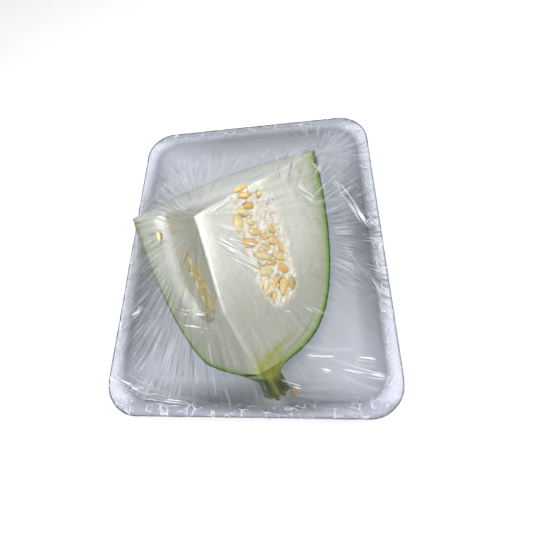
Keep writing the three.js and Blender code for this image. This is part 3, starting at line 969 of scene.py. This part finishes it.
def set_glints(film, places):
    """For each patch of painted highlights on short creases: a mask, and the way along and across it."""
    mask, along_all, across_all = (np.zeros(len(places)) for _ in range(3))
    on_top = places[:, 2] > TRAY_RIM
    margin, patch_gap = 3, 30
    for i, (x, y, heading, half_length, half_width) in enumerate(GLINTS):
        turn = math.radians(heading)
        dx, dy = places[:, 0] - x, places[:, 1] - y
        along = dx * math.cos(turn) + dy * math.sin(turn)
        across = dy * math.cos(turn) - dx * math.sin(turn)
        patch = smoothstep(1, 0.5, np.abs(along) / half_length)
        patch *= smoothstep(1, 0.5, np.abs(across) / half_width)
        near = on_top & (np.abs(along) < half_length + margin) & (np.abs(across) < half_width + margin)
        mask = np.where(near, np.maximum(mask, patch), mask)
        along_all[near] = along[near]
        across_all[near] = across[near] + patch_gap * i
    set_values(film, "glint", mask)
    set_values(film, "glint_along", along_all * LENGTH_SCALE * MM)
    set_values(film, "glint_across", across_all * MM)


def make_film(melon, stem, tray):
    xs, ys, skin = stretched_heights([melon, stem, tray])
    steps = (132, 108, 34)
    rings, rim_inset = 96, 1.5
    rim_line = np.array(outline(rim_inset, *steps))
    count = len(rim_line)
    shares = np.linspace(0, 1, rings + 1)[1:]
    peak = PEAK[:2]
    top = peak + shares[:, None, None] * (rim_line - peak)
    x, y = top[..., 0].ravel(), top[..., 1].ravel()
    z = sample(xs, ys, skin, x, y)
    crest = np.zeros_like(x)
    for i, (name, heading, spread, number, start, end) in enumerate(FANS):
        at = from_melon([FILM_CORNERS[name]])[0][:2]
        crest = np.maximum(crest, fan(x, y, at, heading, spread, number, start, end, i))
    for start, end, width in CREASES:
        crest = np.maximum(crest, crease_line(x, y, start, end, width))
    share = np.repeat(shares, count)
    z = z + CREASE_HEIGHT * crest * smoothstep(1.0, 0.93, share) + FILM_CLEARANCE
    points = [(peak[0], peak[1], sample(xs, ys, skin, *np.array([peak]).T)[0] + FILM_CLEARANCE)]
    points += list(zip(x, y, z))
    for k, (inset, height) in enumerate(WRAP):
        for px, py in outline(inset, *steps):
            crumple = noise.noise(Vector((px / 6, py / 6, k * 0.6)))
            under_tray = height < 1
            spread = 1 if under_tray else 1 + 0.0015 * crumple
            rise = 0.15 if under_tray else 0.4
            points.append((px * spread, py * spread, height + rise * abs(crumple)))
    faces = [(0, 1 + j, 1 + (j + 1) % count) for j in range(count)]
    for ring in ring_faces(rings + len(WRAP), count):
        faces.append(tuple(1 + corner for corner in reversed(ring)))
    film = mesh_object("film_detail", points, faces)
    places = np.array(points)
    set_pulls(film, places, 1 + len(crest))
    set_glints(film, places)
    wrapped = count * len(WRAP)
    near_rim = smoothstep(0.9, 0.97, share)
    # the next two values carry painted highlights on the crease crests and on the crinkled film by the rim
    set_values(film, "crease", np.concatenate([[0], crest * 0.3, np.full(wrapped, 0.1)]))
    set_values(film, "crinkle_highlight", np.concatenate([[0], near_rim, np.full(wrapped, 0.7)]))
    folded_end = smoothstep(HALF_LENGTH - 13, HALF_LENGTH - 7, np.abs(places[:, 1]))
    set_values(film, "layers", 0.5 * folded_end)
    place(film, "film", film_material(), "cling_film")
    return film


# ---------------------------------------------------------------- stage

def make_camera():
    """Close above the near end of the tray, looking down and away, a little turned."""
    camera = bpy.data.objects.new("camera", bpy.data.cameras.new("camera"))
    bpy.context.collection.objects.link(camera)
    camera.data.sensor_width = 36
    camera.data.lens = 20.26
    camera.data.clip_start = 0.01
    camera.location = (0.0421, -0.1060, 0.2470)
    look = Vector((0.0139, -0.0215, 0.0300)) - camera.location
    aim = look.to_track_quat("-Z", "Y").to_matrix()
    roll = Matrix.Rotation(math.radians(-19.8), 3, "Z")
    camera.rotation_euler = (aim @ roll).to_euler()
    bpy.context.scene.camera = camera


def area_light(name, at, target, size, power, colour=(1, 1, 1)):
    data = bpy.data.lights.new(name, "AREA")
    data.shape = "RECTANGLE"
    data.size, data.size_y = size
    data.energy = power
    data.color = colour
    light = bpy.data.objects.new(name, data)
    light.location = at
    light.rotation_euler = (Vector(target) - Vector(at)).to_track_quat("-Z", "Y").to_euler()
    bpy.context.collection.objects.link(light)


def make_stage():
    side = 4000
    floor = mesh_object("floor", [(-side, -side, -0.05), (side, -side, -0.05), (side, side, -0.05),
                                  (-side, side, -0.05)], [(0, 1, 2, 3)])
    floor.data.materials.append(floor_material())
    world = bpy.data.worlds.new("studio")
    bpy.context.scene.world = world
    world.use_nodes = True
    world.node_tree.nodes["Background"].inputs["Color"].default_value = (0.96, 0.98, 1.0, 1)
    world.node_tree.nodes["Background"].inputs["Strength"].default_value = 0.55
    area_light("overhead", (0.02, -0.12, 1.0), (0, 0, 0), (0.8, 0.8), 8.9)
    area_light("tube_one", (0.5, 0.3, 1.0), (0, 0, 0), (0.03, 0.8), 1.2, (0.95, 0.98, 1))
    area_light("tube_two", (-0.6, -0.3, 0.8), (0, 0, 0), (0.03, 0.8), 1.2, (0.95, 0.98, 1))
    bpy.context.scene.view_settings.view_transform = "Standard"


make_camera()
make_stage()
tray = make_tray()
melon = make_melon()
stem = make_stem()
make_seeds()
film = make_film(melon, stem, tray)
